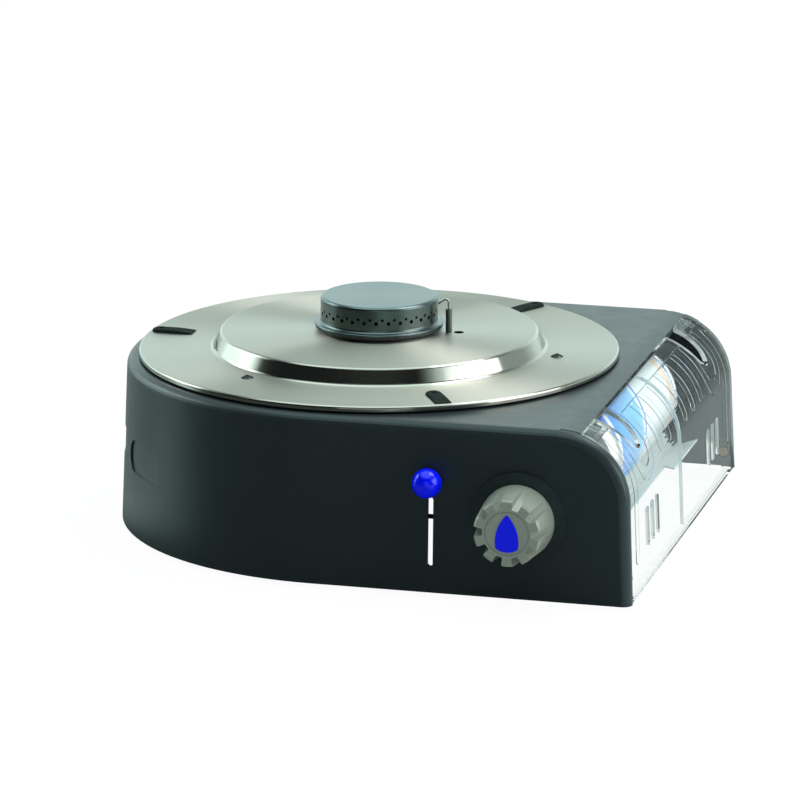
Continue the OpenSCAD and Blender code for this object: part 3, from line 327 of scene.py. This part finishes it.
LOOK_OF = {
    "housing": "housing", "rubber_feet": "rubber", "pan_pads": "rubber", "top_plate": "plate",
    "plate_spacers": "dark", "plate_screws": "screw", "burner_base": "cast", "burner_cap": "cap",
    "burner_nut": "brass", "mixing_tube": "tube", "gas_jet": "brass", "electrode_ceramic": "post",
    "electrode_wire": "steel", "ignition_lead": "lead", "piezo_igniter": "dark", "valve_body": "valve",
    "valve_screws": "steel", "heat_shield": "sheet", "shield_screws": "steel", "cartridge_tray": "tray",
    "tray_rivets": "steel", "hinge_pins": "brass", "knob": "knob", "knob_pointer": "blue",
    "valve_spindle": "tube", "lever_shaft": "lever", "lever_rod": "lever", "lever_ball": "blue",
    "lever_crank": "steel", "cartridge_can": "can", "cartridge_collar": "collar", "cartridge_stem": "stem",
    "lock_slide": "steel", "clear_cover": "clear",
}

for name, look in LOOK_OF.items():
    slots = nodes[name].data.materials
    slots.clear()
    slots.append(LOOKS[look])

# The cover's cut edges and the sides of its ribs, which face front or back, are made whitish and half clear
# as a painted highlight, along with a real higher IOR that bends the light.
# The hinge bosses, which end below this height in metres, stay clear.
BOSS_TOP = 0.026
EDGE_FACING = 0.6

cover = nodes["clear_cover"]
cover.data.materials.append(LOOKS["painted_highlight_edge"])
for face in cover.data.polygons:
    above = (cover.matrix_world @ face.center).z > BOSS_TOP
    face.material_index = int(above and abs(face.normal.y) > EDGE_FACING)


def background_rays(tree):
    """One for the rays that show the background, and one for those that are mirrored on the way.

    Rays that pass through the cover count as glossy too, so they are taken out of the mirrored ones.
    """
    path = add(tree, "LightPath").outputs
    straight = largest(tree, path["Is Camera Ray"], path["Is Transmission Ray"])
    mirrored = product(tree, path["Is Glossy Ray"], maths(tree, "SUBTRACT", 1.0, straight))
    return largest(tree, straight, mirrored), mirrored


# Floor: pale with a faint shadow, and shown nearly white. In mirrors it is dark in front, brighter behind and
# bright at both sides. Each row gives two places in metres and the level at each.
FLOOR_HALF = 8.0
FLOOR_TONES = ((0.6, 0.6, 0.6, 1), (0.64, 0.64, 0.64, 1))
FLOOR_PATCH = 2
FLOOR_LEVEL = 1.04
FLOOR_SHOWN = 0.92
FLOOR_MIRRORED_TINT = (0.74, 1, 0.97, 1)
FLOOR_BEHIND = (-0.2, 0.9, 0.02, 0.8)
FLOOR_RIGHT = (0.17, 0.19, 0, 1)
FLOOR_LEFT = (-0.16, -0.22, 0, 1.0)
FLOOR_LEFT_FRONT = (-0.2, -0.12, 0, 1)
FLOOR_LEFT_BACK = (-0.07, 0.03, 1, 0.4)


def floor_material():
    m = bpy.data.materials.new("pale_floor")
    m.use_nodes = True
    tree = m.node_tree
    tree.nodes.clear()
    where = add(tree, "TexCoord").outputs["Object"]
    tone = blend(tree, noise(tree, where, FLOOR_PATCH, DETAIL_LOW), *FLOOR_TONES)
    lit = add(tree, "BsdfDiffuse", {"Color": tone})
    shown, mirrored = background_rays(tree)
    x, y, _ = add(tree, "SeparateXYZ", {0: where}).outputs
    depth = product(tree, span(tree, y, *FLOOR_LEFT_FRONT), span(tree, y, *FLOOR_LEFT_BACK))
    left = product(tree, span(tree, x, *FLOOR_LEFT), depth)
    right = span(tree, x, *FLOOR_RIGHT)
    around = largest(tree, span(tree, y, *FLOOR_BEHIND), left, right)
    strength = product(tree, FLOOR_LEVEL, span(tree, mirrored, 0, 1, 1, around))
    tone_shown = blend(tree, mirrored, WHITE, FLOOR_MIRRORED_TINT)
    own = add(tree, "Emission", {"Color": tone_shown, "Strength": strength})
    share = product(tree, shown, FLOOR_SHOWN)
    both = add(tree, "MixShader", {0: share, 1: lit.outputs[0], 2: own.outputs[0]})
    add(tree, "OutputMaterial", {"Surface": both.outputs[0]})
    return m


mesh = bpy.data.meshes.new("floor")
corners = [(x * FLOOR_HALF, y * FLOOR_HALF, 0) for x, y in ((-1, -1), (1, -1), (1, 1), (-1, 1))]
mesh.from_pydata(corners, [], [(0, 1, 2, 3)])
floor = bpy.data.objects.new("floor", mesh)
mesh.materials.append(floor_material())
scene.collection.objects.link(floor)

# Surroundings: an even horizon behind, a soft box overhead and one at each side, and dark in front.
# Each row gives two values of a direction's part and the level at each, or a stripe's limits and soft edge.
HORIZON_DEPTH = (-0.1, 0.4, 0.03, 1.42)
HORIZON_HEIGHT = (0.35, 0.6, 1, 0.4)
HORIZON_SIDE = (0.35, 0.65, 1, 0.42)
OVERHEAD_HEIGHT = (0.78, 0.86, 0, 1.9)
LEFT_BOX_SIDE = (-0.7, -0.8, 0, 2.3)
LEFT_BOX_FRONT = (-0.16, -0.04, 0, 1)
LEFT_BOX_BACK = (0.5, 0.7, 1, 0.3)
RIGHT_BOX_SIDE = (0.5, 0.72, 0, 1.35)
RIGHT_BOX_DEPTH = (-0.48, 0.3, 0.1)
RIGHT_BOX_HEIGHT = (0.25, 0.66, 0.05)
ROOM_TINT = (0.8, 1.0, 0.98)

world = bpy.data.worlds.new("studio")
scene.world = world
world.use_nodes = True
tree = world.node_tree
tree.nodes.clear()
x, y, z = add(tree, "SeparateXYZ", {0: add(tree, "TexCoord").outputs["Generated"]}).outputs
horizon = product(
    tree,
    span(tree, y, *HORIZON_DEPTH),
    span(tree, z, *HORIZON_HEIGHT),
    span(tree, x, *HORIZON_SIDE),
)
overhead = span(tree, z, *OVERHEAD_HEIGHT)
left_box = product(
    tree,
    span(tree, x, *LEFT_BOX_SIDE),
    span(tree, y, *LEFT_BOX_FRONT),
    span(tree, y, *LEFT_BOX_BACK),
)
right_box = product(
    tree,
    span(tree, x, *RIGHT_BOX_SIDE),
    stripe(tree, y, *RIGHT_BOX_DEPTH),
    stripe(tree, z, *RIGHT_BOX_HEIGHT),
)
level = largest(tree, horizon, overhead, left_box, right_box)
grey = add(tree, "CombineXYZ", {0: level, 1: level, 2: level}).outputs[0]
room = add(tree, "Background", {"Color": vec(tree, "MULTIPLY", grey, ROOM_TINT), "Strength": 1.0})
backdrop = add(tree, "Background", {"Color": WHITE, "Strength": 1.0})
camera_ray = add(tree, "LightPath").outputs["Is Camera Ray"]
shown = add(tree, "MixShader", {0: camera_ray, 1: room.outputs[0], 2: backdrop.outputs[0]})
add(tree, "OutputWorld", {"Surface": shown.outputs[0]})


def aim(thing, target):
    """Turns a lamp or camera to look at a point, upright."""
    thing.rotation_euler = (Vector(target) - thing.location).to_track_quat("-Z", "Y").to_euler()


# Lamps: place and size in metres, and power in watts
LAMP_TARGET = (0, 0, 0.06)
LAMPS = {
    "key": ((0.7, 0.45, 1.5), (0.9, 0.7), 10),
    "fill": ((-1.5, 0.3, 0.9), (0.7, 0.7), 4),
    "front": ((0.5, -2.2, 0.6), (1.4, 0.8), 2.5),
    "side": ((1.8, -0.1, 0.6), (1.5, 1.1), 16),
}

for name, (place, size, power) in LAMPS.items():
    lamp = bpy.data.lights.new(name, "AREA")
    lamp.shape = "RECTANGLE"
    lamp.size, lamp.size_y = size
    lamp.energy = power
    lamp_object = bpy.data.objects.new(name, lamp)
    lamp_object.location = place
    aim(lamp_object, LAMP_TARGET)
    scene.collection.objects.link(lamp_object)

# Camera as in the photograph, in millimetres: place and target as for at(), lens and sensor
CAMERA_PLACE = (805.28, -3014.62, 906.52)
CAMERA_TARGET = (13.44, 0, 73.2)
CAMERA_LENS = 231.93
CAMERA_SENSOR = 36

camera = bpy.data.cameras.new("camera")
camera.lens = CAMERA_LENS
camera.sensor_width = CAMERA_SENSOR
camera_object = bpy.data.objects.new("camera", camera)
camera_object.location = at(*CAMERA_PLACE)
aim(camera_object, at(*CAMERA_TARGET))
scene.collection.objects.link(camera_object)
scene.camera = camera_object

scene.view_settings.view_transform = "Standard"
